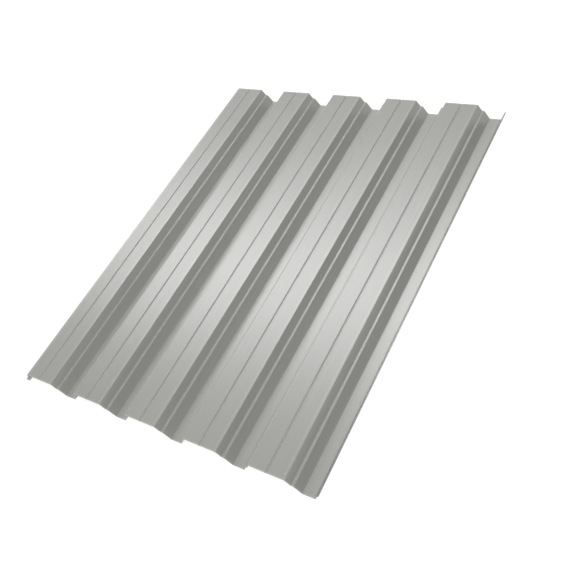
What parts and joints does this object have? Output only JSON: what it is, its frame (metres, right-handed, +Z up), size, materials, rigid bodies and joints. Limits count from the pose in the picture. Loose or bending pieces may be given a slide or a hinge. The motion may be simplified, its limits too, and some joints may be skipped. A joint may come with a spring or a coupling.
{
  "type": "trapezoidal metal sheet",
  "caption": "Short length of roll-formed trapezoidal metal sheet with flat grooved ribs, a narrow ledge along each web, a flat edge on one side and an upturned lipped edge on the other.",
  "frame": {"origin": "centre of the footprint, on the level surface that the sheet lies on", "axes": "+X across the ribs, towards the upturned lipped edge; +Y along the ribs; +Z up, out of the painted upper face"},
  "size_m": [0.936, 1.148, 0.0462],
  "materials": {
    "coated_sheet": "factory-painted light grey, satin"
  },
  "bodies": {
    "root": {"profiled_sheet": "coated_sheet"}
  },
  "joints": []
}
